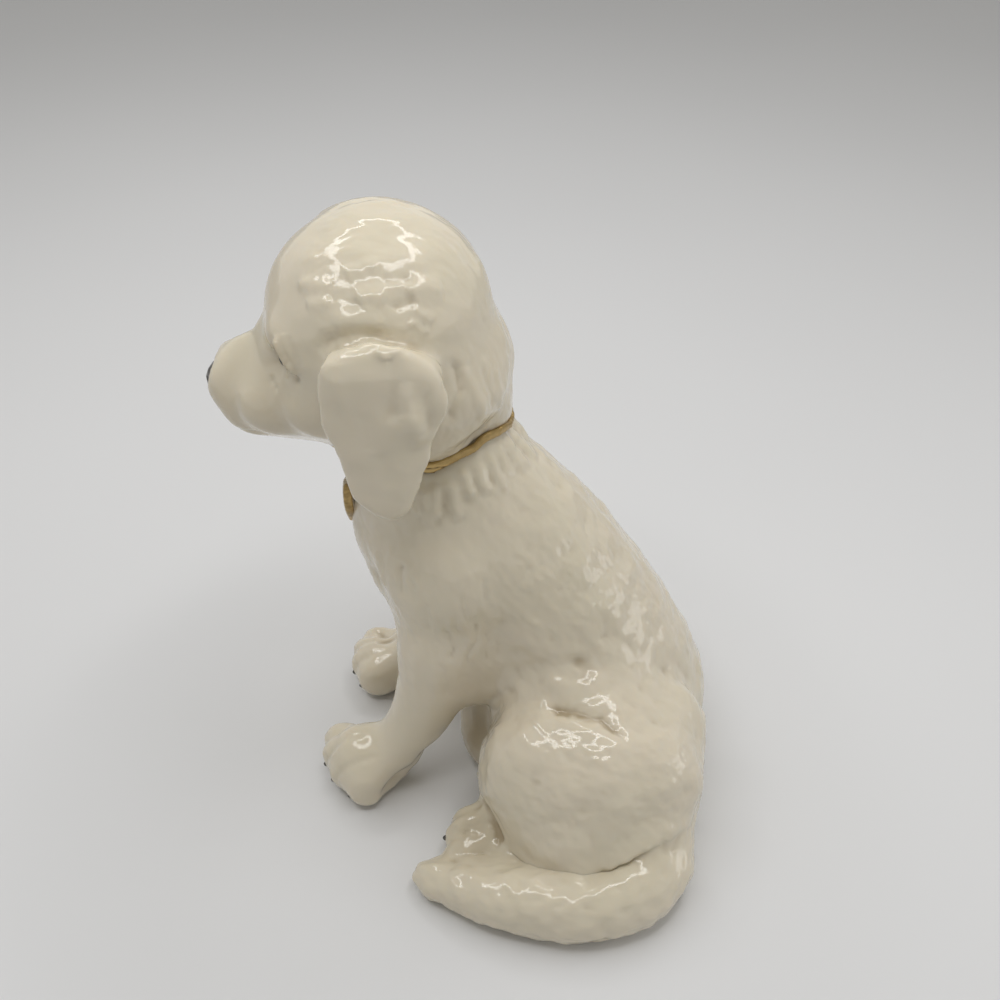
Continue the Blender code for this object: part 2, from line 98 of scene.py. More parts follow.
# Slip that fills the corners between the castings: its place and half sizes
SLIP_LUMPS = (
    ((43.5, -13.5, 4.6), (6.5, 7.5, 4.4)), ((22, 15.5, 21), (14, 12.5, 14)), ((-19, 5, 26), (9, 10, 11)),
    ((25, 16, 11.5), (15, 12, 11)), ((22, 4, 33), (11, 12, 6.5)), ((-19, -2, 32), (9, 10, 6)),
    ((2, 12.5, 29), (14, 11, 12)),
    # the belly between the foreleg and the thigh, and its foot between the hind legs
    ((15.5, -22, 32), (6, 7, 6.3)), ((5, -18.2, 7), (13, 9.3, 11.5)),
)
HEAD_LUMPS = (((8.5, -59, 100.5), (7, 9, 6.5)), ((-8.5, -59, 100.5), (7, 9, 6.5)))
# Broad forms worked over the castings: a place, then its width and height
BODY_FORMS = (
    ((3, -47.5, 66), 6, 0.9), ((10.4, -44.3, 57.6), 4.2, -1.5), ((20.4, -34.1, 12.2), 5, -2),
    ((21.8, -31.1, 20.9), 4, -0.5), ((24.2, -40.7, 6.6), 4.5, -1.5), ((27.9, -46.2, 6), 3.5, -1),
    ((24.5, -37.5, 4), 4, -2), ((27.5, -42, 3.5), 3.5, -0.9),
    ((47, -28, 9.5), 4, -0.7),
)
PAW_FORMS = (
    ((-15.8, -46.6, 16), 4.5, -3), ((-21.6, -47.2, 13.8), 4.5, -3.3), ((-23, -50, 11.7), 3.5, -1.4),
    ((17.5, -52, 15), 5, 1.3),
    # the two toes that show on the near hind paw
    ((36.5, -26.5, 10), 3, 0.7), ((42, -25.5, 8.5), 3.5, 0.8),
)
HEAD_FORMS = (
    # the brow, the bridge of the muzzle, the lip, and the muzzle's rim round the nose
    ((0, -59, 123), 7, 0.3), ((0, -63.5, 112), 3.6, 0.5), ((0, -67.5, 109.3), 4.2, 0.85),
    ((5, -73, 95.5), 5.5, -0.8), ((2, -70, 92.5), 5, -0.5), ((5.4, -72.5, 102), 3.6, 1),
    ((3.6, -72, 105), 2.8, 0.4), ((0, -74.6, 98.6), 2.8, -0.4),
    # the hollow before the eye, and the cheek
    ((12.8, -60, 113), 3.6, -1.2), ((15.5, -53.5, 102), 5, 0.3), ((28.7, -33.4, 109), 2.8, 0.8),
)
# How far the near thigh hangs over the tail, from front to back, and the height of its lip
OVERHANG = ((-18, -13, -9, 0, 6.6, 13, 18.5, 24), (0, 2.2, 4.4, 4.8, 4.2, 3.2, 1.8, 0))
LIP_HEIGHT, LIP_REACH = 13, 6.5
# The near hind paw's inner toes: how far they are drawn in, and lowered as a share of their height
TOE_TUCK, TOE_DROP = 3.2, 0.3
# The ear's front edge moves back and its rear edge forward, by height, and its front corner up
EAR_PULL = ((89, 93, 98.5, 104, 107, 110, 114, 118), (2.9, 1.8, 0.3, 0.4, 0.5, 0.8, 0.8, 0))
EAR_DENT = ((88, 93, 97, 103.5, 108, 112), (0.6, 0.4, 1.1, 2.2, 0.6, 0))
EAR_LIFT, EAR_LIFT_HEIGHT, EAR_LIFT_REACH = 2.8, 115, 4.5
# The drops of enamel: how far each is scaled and moved
NOSE_SCALE, NOSE_SHIFT = (0.98, 0.98, 1.08), (0, -0.2, -0.9)
EYE_SCALE, EYE_SINK = 0.8, 1.15
EYE_AIM = (13.4, -17, -0.9)
CLAW_SCALE, CLAW_SHIFT, HIND_CLAW_SHIFT = 0.85, (0, 0.4, 0), (0, 0.2, 0.1)
TAG_STRETCH = 1.2
# The rows of toes: the row's middle, its pitch, splay and roll, and the side
TOE_ROWS = (
    ((17.9, -53.8, 6.3), 4.6, 2.2, 0, 1), ((16.3, -51, 6.3), 4.6, 0, 0, -1),
    ((35, -25.5, 5.6), 4.7, -2, -0.9, 1), ((36.5, -29, 5.6), 4.7, -0.5, -0.9, -1),
)
# Lines drawn in the clay: a path, then its width and its height (a groove's is negative)
BODY_LINES = (
    # the fold over the hip, and the roll of flesh above it
    (((28, -9, 37.5), (30, -6.6, 38), (31, -2.5, 38.3), (32.5, 2.6, 38.3), (35, 5.5, 37.5), (37, 9, 35.5)),
     1.5, -1.1),
    (((23.5, -9, 39), (25, -4, 40), (26, 0, 40), (28, 4.5, 39.5), (30, 8, 38.5)), 2.3, 0.75),
    (((30.5, -11, 35), (32.5, -7, 35.5), (34, -2.5, 35.8), (35.5, 2, 35.5)), 2, 0.5),
    # where the thigh meets the belly, and the shoulder's hind edge
    (((12, -21, 22), (17, -20, 29), (21, -15.5, 35), (24, -10.5, 37.5)), 1.4, -0.5),
    (((21, -21, 42), (20, -19, 50), (18.5, -16, 58)), 2.2, -0.35),
    # the folds round the near hind paw
    (((34, -22.5, 15), (36, -21, 14.6), (38.2, -19.6, 13.4), (40.7, -17.9, 10.6), (42.9, -15.6, 8.4)),
     1.1, -0.9),
    (((45.6, -30.5, 7), (45.6, -28, 7), (45, -25, 7), (44.6, -21, 6.6), (45, -17, 7)), 1, -0.22),
    (((38.2, -31, 5), (38.4, -29.6, 7.6), (38.9, -26.7, 9.6), (39.6, -23.4, 10.7), (40.6, -20.1, 11.2)),
     1.1, -0.6),
    # long waved strokes on the shoulder
    (((23.2, -26.2, 66), (23.3, -25.8, 63.2), (23.5, -25.5, 60.7), (23.3, -24.9, 58), (22.6, -23.5, 55.7),
      (22.2, -22.8, 53)), 0.5, -0.3),
    (((23.8, -27, 61.5), (23.8, -27, 59.5), (23.3, -27.1, 56), (22.6, -26.2, 52.9), (22, -25.8, 50.5),
      (22, -26.2, 48)), 0.5, -0.28),
    (((22.6, -22.6, 60), (22.4, -22, 58), (21.6, -21.1, 54.1), (21, -20.7, 50.1), (20.3, -20.9, 46.2),
      (20, -21.4, 43)), 0.55, -0.3),
    (((22.9, -23.9, 59.4), (22.8, -23.3, 57.8), (22.3, -22.7, 55.4), (21.4, -23, 51.5), (21, -23.8, 48.9),
      (21.8, -24.7, 46.8), (22.1, -25.1, 43)), 0.5, -0.3),
    (((23, -29, 55.5), (22.8, -28.6, 53.3), (22.8, -28.3, 50.7), (23.1, -27.7, 48.7), (23.5, -28.4, 46.8),
      (23.4, -28.8, 44.6)), 0.5, -0.26),
    (((23, -32.4, 62), (22.9, -32.7, 60.1), (22.6, -32.5, 57.4), (22.4, -32.7, 53)), 0.6, -0.24),
    (((20.4, -36.2, 67.4), (20.8, -35.7, 65.7), (21.8, -34.8, 63.2), (22.2, -34.4, 61)), 0.6, -0.26),
    (((21.4, -21.4, 67.5), (21.6, -21.2, 65.6), (21.9, -21.2, 63.3), (22, -21, 61)), 0.55, -0.26),
    # the soft edges of coat on the foreleg and the chest
    (((23.6, -30.4, 46.4), (23.3, -29.4, 40), (23.1, -28.9, 33.6)), 0.9, -0.3),
    (((22, -36.8, 40), (22.6, -37.2, 33), (23, -37.4, 26)), 1.1, -0.28),
    (((17.5, -38, 68.4), (18.6, -37.4, 65), (20, -36.6, 61)), 1.3, -0.4),
    (((12, -43.4, 67), (13.6, -42.4, 63), (15.6, -40.8, 59)), 1.3, 0.4),
)
HEAD_LINES = (
    # the upper lid: its edge, the fold of skin that backs it, and the crease over it
    (((14.6, -57.6, 118.6), (16.2, -56.9, 117), (17.2, -55.9, 114.8), (18, -54.6, 113.1), (18.6, -53, 112.4)),
     0.55, 0.95),
    (((15.2, -56.6, 119.6), (16.8, -56, 117.2), (17.8, -54.9, 114.8), (18.7, -53.4, 113.2)), 1.3, 0.3),
    (((16.6, -55.2, 119.8), (17.9, -54.5, 117.4), (18.6, -53.3, 115.2), (19.2, -52, 114)), 0.7, -0.16),
    # tufts that lie back over the temple and the crown
    (((12.1, -53.3, 126.3), (13.4, -50.8, 127.5), (14.6, -48, 128.2), (15.9, -46.2, 127.9)), 1.4, 0.5),
    (((15.2, -51.5, 124.6), (16.6, -48.9, 125.8), (17.6, -46.5, 125.9)), 1.3, 0.42),
    (((17.6, -42.8, 126.9), (17.2, -40.1, 128.1), (17.5, -36.9, 126.9)), 1.8, 0.62),
    (((16.3, -34.2, 127), (14.6, -31.2, 127.6), (12.7, -27.7, 125.8)), 1.8, 0.5),
    (((17.1, -33.1, 125.5), (17.4, -31.4, 123.9), (17.4, -29.7, 122)), 0.9, 0.42),
    (((18.4, -33.9, 123.9), (18.5, -32, 122.2), (18.3, -30.4, 120.6)), 0.8, 0.36),
    (((14.2, -45.2, 130.2), (14, -41.6, 130.9), (13.4, -38, 130.6)), 1.3, 0.42),
    (((19.4, -46.6, 123.4), (20, -43.5, 124), (20, -40.4, 123.6), (19.6, -37.4, 124.2)), 1.3, 0.4),
    (((17.4, -47.8, 127.2), (18.1, -44.6, 127.3), (18.5, -42, 125.6)), 0.9, -0.2),
    (((18.1, -36.6, 125.2), (17.6, -34.6, 126.3), (16.6, -32.2, 125.9)), 0.9, -0.36),
    (((15.6, -38.6, 129.6), (15.2, -35.6, 129.4), (14.2, -32.6, 129)), 1, -0.34),
    # the furrow over the ear
    (((19.6, -50.3, 117), (20.4, -47.4, 120.3), (21, -44.4, 121.8), (21.2, -41.4, 122.2),
      (21.2, -38.4, 121.6), (21, -35.4, 120.6), (20.2, -32.4, 119.2), (19, -29.8, 117)), 1.3, -0.8),
    # the folds behind the ear, down to the collar
    (((17.6, -27.3, 116.1), (16.9, -26, 112.6), (17.7, -25.5, 108.8), (18.9, -26.6, 106.4),
      (19.4, -27.6, 102)), 1, -0.65),
    (((16.2, -24.6, 114), (15.9, -23.7, 109.7), (15.7, -22.4, 105.4), (14.2, -21.6, 99.5)), 1, 0.4),
    (((13.6, -21, 112), (13.4, -20.4, 107), (12.8, -20, 101)), 0.8, -0.3),
    (((10.6, -18.6, 110), (10.6, -18.2, 105), (9.6, -18, 99)), 0.9, 0.28),
    # the mouth, from the nose round under the lip
    (((0.3, -74.2, 95.8), (2.2, -73.6, 95.2), (5.2, -70.6, 94.8), (7.8, -66, 95), (9.6, -61, 95.6)),
     0.55, -0.3),
)
EAR_LINES = (
    (((25.6, -36.3, 121.2), (27.4, -35.6, 118.1), (28.3, -36, 114.7), (28.8, -36.6, 111.5),
      (29, -35.8, 108.4)), 1.7, -0.35),
    (((28.4, -40.5, 112), (28.9, -40.8, 107.5), (29, -40, 103)), 1.8, -0.2),
    (((27.4, -34, 117.4), (28.4, -33.6, 113), (28.7, -33, 110), (28.8, -32.4, 107), (28.8, -31.8, 103)),
     1.4, 0.6),
    (((25.6, -39.4, 121.9), (26.3, -37.7, 121.1), (26.7, -36.4, 120.2)), 0.8, 0.5),
    (((23.5, -44.6, 118.4), (25.6, -44.6, 115), (27, -43.6, 110.5), (27.8, -42.6, 106)), 1.4, 0.35),
    (((23.6, -42.6, 120.2), (24.8, -39.6, 121), (25.2, -36.6, 120.6), (24.8, -33.6, 119.6)), 0.9, 0.45),
    (((26.8, -31.2, 115.5), (28, -30.2, 111), (28.6, -30, 106)), 1.1, -0.4),
    (((28.4, -39, 104), (28.8, -38, 99), (28.8, -37.4, 95)), 1.6, -0.3),
    (((28.6, -35, 101), (28.8, -35.4, 96), (28.4, -36, 92)), 1.5, 0.25),
)
# Soft lumps and hollows: a place, then its width and height
BODY_SPOTS = (
    ((23.4, -12.9, 37.4), 1.9, 0.65), ((24.1, -6.4, 40.3), 2, 0.6), ((23.9, 1.6, 40.6), 2.2, 0.65),
    ((30, 7.3, 37.8), 2.1, 0.6), ((27.4, 12.5, 36.2), 2.1, 0.65), ((19, 3.5, 49), 1.6, -0.5),
    ((21.9, 12, 35.4), 1.8, 0.4), ((21.8, -3.4, 47.4), 1.8, 0.35), ((15, 3.5, 56), 2, 0.4),
    ((22, 12, 36.5), 1.9, -0.4), ((22.5, -1.5, 45), 1.6, -0.3), ((19.5, 8, 43.5), 2, 0.3),
    ((15.5, 7, 52), 2.4, 0.4), ((17, 0.5, 55), 1.8, 0.25),
)
HEAD_SPOTS = (
    ((15.6, -58, 114.3), 2, -0.55), ((12, -59.7, 107.4), 0.8, -0.4), ((13.4, -58.6, 106.6), 0.6, -0.2),
    ((17.6, -54.2, 111.2), 0.8, -0.45), ((15.5, -35.5, 128.6), 1.6, 0.35), ((9.5, -50.5, 129.8), 1.7, 0.3),
)
# Painted shade laid with the dark pooled colour: a place, then how wide and how dark the patch is
HEAD_PAINTED_SHADE = (
    ((15.2, -58.2, 114.2), 3.8, 0.8), ((12.8, -60.2, 112.6), 3.2, 0.5), ((12, -61, 110), 5, 0.26),
    ((13, -59, 101), 8, 0.24), ((9, -69, 100), 6, 0.24),
)
# Painted shade on the body: along the thigh over the tail, on the hind paw, the flank and between the legs
BODY_PAINTED_SHADE = (
    ((40, -24, 9.5), 7, 0.4), ((46, -13, 9.5), 4.5, 0.4), ((51, -5, 12.5), 4, 0.3),
    ((51.5, 3, 13.5), 4, 0.3), ((49, 11, 15), 4, 0.25), ((21, -16, 52), 12, 0.14),
    ((16, -24, 24), 12, 0.4), ((30, -20, 8), 7, 0.25), ((13, -23, 12), 9, 0.6),
    ((20, -24, 37), 7, 0.25), ((40, -19, 11), 3.5, 0.35),
)
LOCK_STEPS = 6  # legs of the line that a lock of fur follows


def distance(name, description, default):
    return bpy.props.FloatProperty(
        name=name, description=description, default=default, unit="LENGTH", subtype="DISTANCE", precision=5
    )


def colour(name, description, default):
    return bpy.props.FloatVectorProperty(
        name=name, description=description, default=default, size=3, subtype="COLOR", min=0, max=1
    )


class PuppySizes(bpy.types.PropertyGroup):
    body_grain: distance("Body grain", "Voxel size that melts the body's castings together", 1.35 * MM)
    head_grain: distance("Head grain", "Voxel size that melts the head and ears together", 0.8 * MM)
    glaze_fill: distance("Glaze fill", "How far each casting swells to close its slip joints", 0.25 * MM)
    fur_depth: distance("Fur depth", "Height of a modelled lock of fur over its valley", 0.30 * MM)
    collar_width: distance("Collar width", "Width of the gilt band", 1.8 * MM)
    ring_radius: distance("Ring radius", "Radius of the ring lamp over the puppy", 0.205)
    ring_height: distance("Ring height", "Height of the ring lamp over the floor", 0.43)
    ring_width: distance("Ring width", "Width of the ring lamp's tube", 0.058)


class PuppyColours(bpy.types.PropertyGroup):
    glaze: colour("Glaze", "Ivory of the glaze where it lies thin", (0.73, 0.66, 0.53))
    # The dark pooled colour stands for glaze run thick in the valleys, and is also laid on as painted shade
    pooled_glaze: colour("Pooled glaze", "Glaze where it has run together", (0.43, 0.35, 0.23))
    gilding: colour("Gilding", "Gold of the collar and tag", (0.56, 0.40, 0.17))
    gilding_edge: colour("Gilding edge", "Where the gold is thin or burnt", (0.13, 0.085, 0.04))
    enamel: colour("Enamel", "Dark grey of nose, eyes and claws", (0.055, 0.052, 0.048))
    floor: colour("Floor", "The plain floor and backdrop", (0.755, 0.76, 0.77))


class NodeNet:
    """The nodes of a material or a world, and short ways to add to them."""

    def __init__(self, tree, last):
        self.nodes, self.links = tree.nodes, tree.links
        self.last = self.nodes[last].inputs

    def feed(self, inputs, **sources):
        """Links each source to its socket, or writes it there: From_Min stands for the socket From Min."""
        for name, source in sources.items():
            socket = inputs[name.replace("_", " ")]
            if isinstance(source, bpy.types.NodeSocket):
                self.links.new(source, socket)
            else:
                socket.default_value = source

    def finish(self, **sources):
        self.feed(self.last, **sources)

    def noise(self, scale, detail):
        noise = self.nodes.new("ShaderNodeTexNoise")
        where = self.nodes.new("ShaderNodeTexCoord").outputs["Object"]
        self.feed(noise.inputs, Vector=where, Scale=scale, Detail=detail)
        return noise.outputs["Fac"]

    def attribute(self, name):
        layer = self.nodes.new("ShaderNodeAttribute")
        layer.attribute_name = name
        return layer.outputs["Fac"]

    def span(self, source, low, high, out_low=0.0, out_high=1.0):
        """Maps the values from low to high on the values from out_low to out_high."""
        span = self.nodes.new("ShaderNodeMapRange")
        self.feed(span.inputs, Value=source, From_Min=low, From_Max=high, To_Min=out_low, To_Max=out_high)
        return span.outputs["Result"]

    def mix(self, share, first, second, kind="RGBA"):
        mix = self.nodes.new("ShaderNodeMix")
        mix.data_type = kind
        ready = (bpy.types.NodeSocket, float)
        first, second = (end if isinstance(end, ready) else (*end, 1) for end in (first, second))
        self.feed(mix.inputs, Factor=share, A=first, B=second)
        return mix.outputs["Result"]

    def bump(self, source, strength, height):
        """Fine unevenness of the surface."""
        bump = self.nodes.new("ShaderNodeBump")
        self.feed(bump.inputs, Height=source, Strength=strength, Distance=height)
        return bump.outputs["Normal"]


def new_material(name):
    made = bpy.data.materials.new(name)
    made.use_nodes = True
    return made, NodeNet(made.node_tree, "Principled BSDF")


def glaze_material(name, colours):
    """Clear ivory glaze over a white body: darker and warmer where it has pooled in a valley, and painted
    darker as shade in the hollows and at the listed places.
    """
    made, net = new_material(name)
    cool = [c * f for c, f in zip(colours.glaze, (0.955, 0.965, 0.94))]
    patch = net.span(net.noise(38.0, 3.0), 0.35, 0.68)
    base = net.mix(patch, colours.glaze, cool)
    # The base colour takes the dark pooled colour by the layer: real pooling in the valleys, and painted
    # shade in hollows and at listed places
    net.finish(
        Base_Color=net.mix(net.attribute("pool"), base, colours.pooled_glaze),
        Roughness=net.span(net.noise(220.0, 2.0), 0.3, 0.7, 0.07, 0.13),
        Normal=net.bump(net.noise(420.0, 2.0), 0.05, 0.2 * MM),
        IOR=1.5,
        Subsurface_Weight=0.25,
        Subsurface_Radius=(1.0, 0.8, 0.55),
        Subsurface_Scale=1.5 * MM,
    )
    return made


def gilding_material(name, colours):
    """Brushed-on gold: brighter on top, thin and brown towards the edge of the band."""
    made, net = new_material(name)
    brush = net.noise(900.0, 3.0)
    thin = net.nodes.new("ShaderNodeMath")
    thin.operation = "MULTIPLY_ADD"
    net.links.new(brush, thin.inputs[0])
    thin.inputs[1].default_value = 0.35
    net.links.new(net.attribute("edge"), thin.inputs[2])
    share = net.span(thin.outputs["Value"], 0.30, 1.0)
    net.finish(
        Base_Color=net.mix(share, colours.gilding, colours.gilding_edge),
        Roughness=net.span(brush, 0.3, 0.7, 0.28, 0.42),
        Metallic=0.9,
        Normal=net.bump(brush, 0.15, 0.1 * MM),
    )
    return made


def tag_material(name, colours):
    """Gold brushed into the field of the tag, and bare ivory glaze on its rim."""
    made, net = new_material(name)
    gilt = net.attribute("gilt")
    worn = net.span(net.noise(800.0, 3.0), 0.3, 0.75, 0.0, 0.7)
    gold = net.mix(worn, colours.gilding, colours.gilding_edge)
    net.finish(
        Base_Color=net.mix(gilt, colours.glaze, gold),
        Metallic=net.span(gilt, 0.0, 1.0, 0.0, 0.9),
        Roughness=net.span(gilt, 0.0, 1.0, 0.08, 0.34),
    )
    return made


def enamel_material(name, colours):
    """Hand-painted dark enamel, a little uneven in depth."""
    made, net = new_material(name)
    brush = net.noise(700.0, 3.0)
    share = net.span(brush, 0.35, 0.75)
    net.finish(
        Base_Color=net.mix(share, colours.enamel, [c * 2.2 for c in colours.enamel]),
        Roughness=net.span(brush, 0.3, 0.7, 0.12, 0.26),
    )
    return made


def floor_material(name, colours):
    """Matt paper: almost plain, with a faint unevenness."""
    made, net = new_material(name)
    share = net.span(net.noise(4.0, 2.0), 0.3, 0.7)
    tint = net.mix(share, colours.floor, [c * 0.97 for c in colours.floor])
    net.finish(Base_Color=tint, Roughness=0.6, Specular_IOR_Level=0.3)
    return made


def bell(values):
    """1 at 0, and softly down to 0 on both sides."""
    return np.exp(-(values ** 2))


def along_path(points, path):
    """For each point: how far from a path, how far along it, from 0 to 1, and which way it runs there."""
    path = np.asarray(path, float)
    legs = np.diff(path, axis=0)
    lengths = np.linalg.norm(legs, axis=1)
    best, along, flow = np.full(len(points), 1e9), np.zeros(len(points)), np.zeros((len(points), 3))
    run = 0.0
    for start, leg, length in zip(path, legs, lengths):
        t = np.clip((points - start) @ leg / max(leg @ leg, 1e-9), 0, 1)
        gap = np.linalg.norm(points - start - t[:, None] * leg, axis=1)
        closer = gap < best
        best[closer] = gap[closer]
        along[closer] = (run + t[closer] * length) / lengths.sum()
        flow[closer] = leg / max(length, 1e-9)
        run += length
    return best, along, flow


class Clay:
    """The points of a casting in millimetres, and the tools that smooth, press and raise them."""

    def __init__(self, piece):
        self.piece = piece
        mesh = piece.data
        self.count = len(mesh.vertices)
        flat = np.empty(self.count * 3, np.float32)
        mesh.vertices.foreach_get("co", flat)
        self.points = flat.reshape(-1, 3).astype(float) / MM
        ends = np.empty(len(mesh.edges) * 2, np.int32)
        mesh.edges.foreach_get("vertices", ends)
        self.ends = ends.reshape(-1, 2)
        self.degree = np.maximum(np.bincount(ends, minlength=self.count), 1)
        self.face_normals()

    def face_normals(self):
        """Writes the points back to the mesh and reads its normals."""
        mesh = self.piece.data
        mesh.vertices.foreach_set("co", (self.points * MM).astype(np.float32).ravel())
        mesh.update()
        flat = np.empty(self.count * 3, np.float32)
        mesh.vertex_normals.foreach_get("vector", flat)
        self.normals = flat.reshape(-1, 3).astype(float)
        self.upwards = np.argsort(self.points[:, 2])
        self.heights = self.points[self.upwards, 2]

    def around(self, values):
        """Each point's mean over its neighbours, for one value or three a point."""
        a, b = self.ends[:, 0], self.ends[:, 1]
        if values.ndim == 1:
            total = np.bincount(a, values[b], self.count) + np.bincount(b, values[a], self.count)
            return total / self.degree
        return np.stack([self.around(values[:, axis]) for axis in range(3)], axis=1)

    def spread(self, values, passes, share=0.5):
        for _ in range(passes):
            values = values + (self.around(values) - values) * share
        return values

    def smooth(self, passes, weight=1.0, keep=1.0):
        """Smooths by weight. keep, from 0 to 1, gives back the bulk that smoothing takes."""
        share = np.reshape(0.5 * weight, (-1, 1))
        before = self.points
        for _ in range(passes):
            self.points = self.points + (self.around(self.points) - self.points) * share
        lost = before - self.points
        for _ in range(passes):
            lost = lost + (self.around(lost) - lost) * share
        self.move(lost * keep)

    def fill(self, passes, weight):
        """Fills the creases by weight, as slip does, and leaves the ridges as they are."""
        for step in range(passes):
            rise = ((self.around(self.points) - self.points) * self.normals).sum(axis=1)
            self.points = self.points + self.normals * (np.maximum(rise, 0) * weight)[:, None]
            if step % 25 == 24:
                self.face_normals()
        self.face_normals()

    def drape(self):
        """Lifts the neck and what lies on it where the collar climbs behind the ears."""
        tilt = math.radians(COLLAR_TILT)
        x, y, z = (self.points - COLLAR_MIDDLE).T
        off = z * math.cos(tilt) - y * math.sin(tilt)
        turn = np.degrees(np.arctan2(y, np.abs(x)))
        climb = np.clip(np.cos(np.radians(2 * (turn - CLIMB_TURN))), 0, 1) ** 1.3 * (turn > 0)
        self.points[:, 2] += COLLAR_RISE * climb * bell(off / CLIMB_REACH)
        self.face_normals()

    def move(self, shift):
        self.points = self.points + shift
        self.face_normals()

    def raise_by(self, amount):
        self.move(self.normals * amount[:, None])

    def resize(self, node, scale, shift):
        """Scales the points about the middle of a node's box, and moves them."""
        middle = np.mean(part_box(node), axis=0) / MM
        self.points = middle + (self.points - middle) * scale
        self.move(shift)

    def near_path(self, path, reach):
        """The points within reach of a path, how far each is from it, and how far along, from 0 to 1."""
        path = np.asarray(path, float)
        low, high = path.min(0) - reach, path.max(0) + reach
        first, last = np.searchsorted(self.heights, (low[2], high[2]))
        near = self.upwards[first:last]
        near = near[((self.points[near] > low) & (self.points[near] < high)).all(axis=1)]
        gap, along, _ = along_path(self.points[near], path)
        inside = gap < reach
        return near[inside], gap[inside], along[inside]

    def finder(self):
        """A quick search for the nearest point."""
        tree = KDTree(self.count)
        for index, point in enumerate(self.points):
            tree.insert(point, index)
        tree.balance()
        return tree

    def stroke(self, finder, path, width, height, fade=0.22):
        """The relief of one soft line: a ridge, or a groove where the height is negative."""
        amount = np.zeros(self.count)
        laid = [self.points[finder.find(place)[1]] for place in curved(path)]
        near, gap, along = self.near_path(laid, width * 2.5)
        ends = np.clip(np.minimum(along, 1 - along) / fade, 0, 1)
        amount[near] = height * bell(gap / width) * ends * ends * (3 - 2 * ends)
        return amount

    def carve(self, lines, spots, mirror=True):
        """Draws lines and soft spots on the dog's left, and their mirror images on its right."""
        finder = self.finder()
        relief = np.zeros(self.count)
        for side in (1, -1) if mirror else (1,):
            flip = np.array((side, 1, 1))
            for path, width, height in lines:
                relief += self.stroke(finder, np.asarray(path, float) * flip, width, height)
            for place, width, height in spots:
                spot = self.points[finder.find(np.asarray(place, float) * flip)[1]]
                gap = np.linalg.norm(self.points - spot, axis=1)
                relief += height * bell(gap / width)
        self.raise_by(relief)

    def along_surface(self, flow):
        """The part of a flow that lies in the surface, at length 1."""
        flow = flow - self.normals * (flow * self.normals).sum(axis=1)[:, None]
        return flow / np.maximum(np.linalg.norm(flow, axis=1), 1e-6)[:, None]

    def locks(self, finder, flow, weight, seed, spacing, length, width, height, sway):
        """The relief of many soft locks that follow a flow, one to each cell of a loose grid."""
        rng = np.random.default_rng(seed)
        order = rng.permutation(self.count)
        cells = np.floor(self.points[order] / spacing).astype(np.int64) @ (1, 1 << 12, 1 << 24)
        _, first = np.unique(cells, return_index=True)
        relief = np.zeros(self.count)
        for start in order[np.sort(first)]:
            strength = weight[start] * rng.uniform(0.55, 1.0)
            phase, long = rng.uniform(0, 2 * math.pi), length * rng.uniform(0.7, 1.25)
            if strength < 0.08:
                continue
            index, place, path = start, self.points[start], []
            for step in range(LOCK_STEPS + 1):
                path.append(place)
                turn = sway * math.sin(phase + 2 * math.pi * step / LOCK_STEPS)
                across = np.cross(self.normals[index], flow[index])
                place = place + (flow[index] * math.cos(turn) + across * math.sin(turn)) * (long / LOCK_STEPS)
                index = finder.find(place)[1]
                off = (place - self.points[index]) @ self.normals[index]
                place = place - self.normals[index] * off
            near, gap, along = self.near_path(path, width * 2.2)
            taper = np.sin(math.pi * np.clip(along, 0, 1)) ** 0.8
            relief[near] = np.maximum(relief[near], strength * height * taper * bell(gap / width))
        return relief

    def swells(self, seed, wavelength, height, waves=28):
        """Slow lumps and hollows, from soft waves that cross at random."""
        rng = np.random.default_rng(seed)
        total = np.zeros(self.count)
        for _ in range(waves):
            heading = rng.normal(size=3)
            heading *= 2 * math.pi / (wavelength * rng.uniform(0.75, 1.35) * np.linalg.norm(heading))
            total += np.cos(self.points @ heading + rng.uniform(0, 2 * math.pi))
        return height * total / math.sqrt(waves / 2)


def curved(path, steps=6):
    """A smooth line through a few points."""
    path = [Vector(p) for p in path]
    if len(path) < 3:
        return [tuple(p) for p in path]
    made = []
    for i in range(len(path) - 1):
        p0, p1, p2, p3 = (path[max(0, min(len(path) - 1, i + k))] for k in (-1, 0, 1, 2))
        for step in range(steps):
            t = step / steps
            made.append(tuple(0.5 * (
                2 * p1 + (p2 - p0) * t + (2 * p0 - 5 * p1 + 4 * p2 - p3) * t * t
                + (3 * p1 - p0 - 3 * p2 + p3) * t * t * t
            )))
    made.append(tuple(path[-1]))
    return made


def lone(obj):
    """Selects one object and makes it active."""
    bpy.ops.object.select_all(action="DESELECT")
    obj.select_set(True)
    bpy.context.view_layer.objects.active = obj


def apply_all(obj):
    lone(obj)
    for modifier in list(obj.modifiers):
        bpy.ops.object.modifier_apply(modifier=modifier.name)


def melt(obj, grain):
    """Makes one even skin of all that an object holds."""
    remesh = obj.modifiers.new("melt", "REMESH")
    remesh.mode = "VOXEL"
    remesh.voxel_size = grain
    apply_all(obj)


def casting_copy(name):
    """A casting's mesh in an object of its own, with its loose triangles merged."""
    obj = bpy.data.objects.new(name + "_clay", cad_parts[name].data.copy())
    bpy.context.scene.collection.objects.link(obj)
    obj.data.materials.clear()
    lone(obj)
    bpy.ops.object.mode_set(mode="EDIT")
    bpy.ops.mesh.select_all(action="SELECT")
    bpy.ops.mesh.remove_doubles(threshold=1e-6)
    bpy.ops.object.mode_set(mode="OBJECT")
    obj.data.attributes.new("casting", "INT", "FACE")
    return obj


def slip_lump(place, half_sizes):
    """A lump of slip that fills a corner between castings."""
    bpy.ops.object.select_all(action="DESELECT")
    bpy.ops.mesh.primitive_uv_sphere_add(segments=24, ring_count=16, radius=MM)
    lump = bpy.context.object
    lump.data.transform(Matrix.Translation(Vector(place) * MM) @ Matrix.Diagonal((*half_sizes, 1)))
    lump.data.attributes.new("casting", "INT", "FACE")
    return lump


